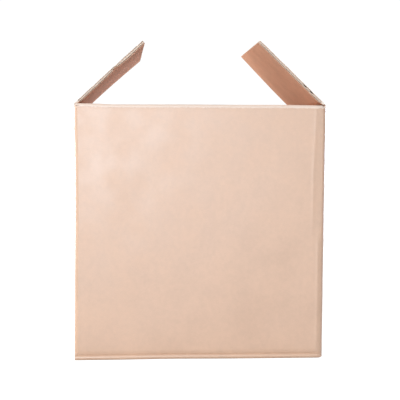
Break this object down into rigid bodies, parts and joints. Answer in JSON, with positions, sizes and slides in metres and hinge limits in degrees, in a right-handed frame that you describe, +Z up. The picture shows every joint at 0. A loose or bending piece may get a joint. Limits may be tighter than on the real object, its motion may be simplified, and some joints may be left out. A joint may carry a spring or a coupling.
{
  "type": "open cardboard box",
  "caption": "Open slotted carton of brown corrugated board: side top flaps lean in over the mouth on hinges, long flaps are tucked inside.",
  "frame": {"origin": "centre of the underside, on the surface the box stands on", "axes": "+Z up, +X to the right along the front panel, +Y from the front panel to the back panel"},
  "size_m": [0.3134, 0.2384, 0.3999],
  "materials": {
    "kraft_board": "matte uncoated liner",
    "packing_tape": "smooth film"
  },
  "bodies": {
    "carton": {"carton": "kraft_board", "bottom_tape": "packing_tape"},
    "left_flap": {"left_flap": "kraft_board"},
    "right_flap": {"right_flap": "kraft_board"}
  },
  "joints": [
    {"name": "left_flap_fold", "type": "hinge", "parent": "carton", "child": "left_flap", "pos_m": [-0.1565, 0, 0.318], "axis": [0, -1, 0], "range_deg": [-42, 223]},
    {"name": "right_flap_fold", "type": "hinge", "parent": "carton", "child": "right_flap", "pos_m": [0.1565, 0, 0.318], "axis": [0, 1, 0], "range_deg": [-45.4, 219.6]}
  ]
}
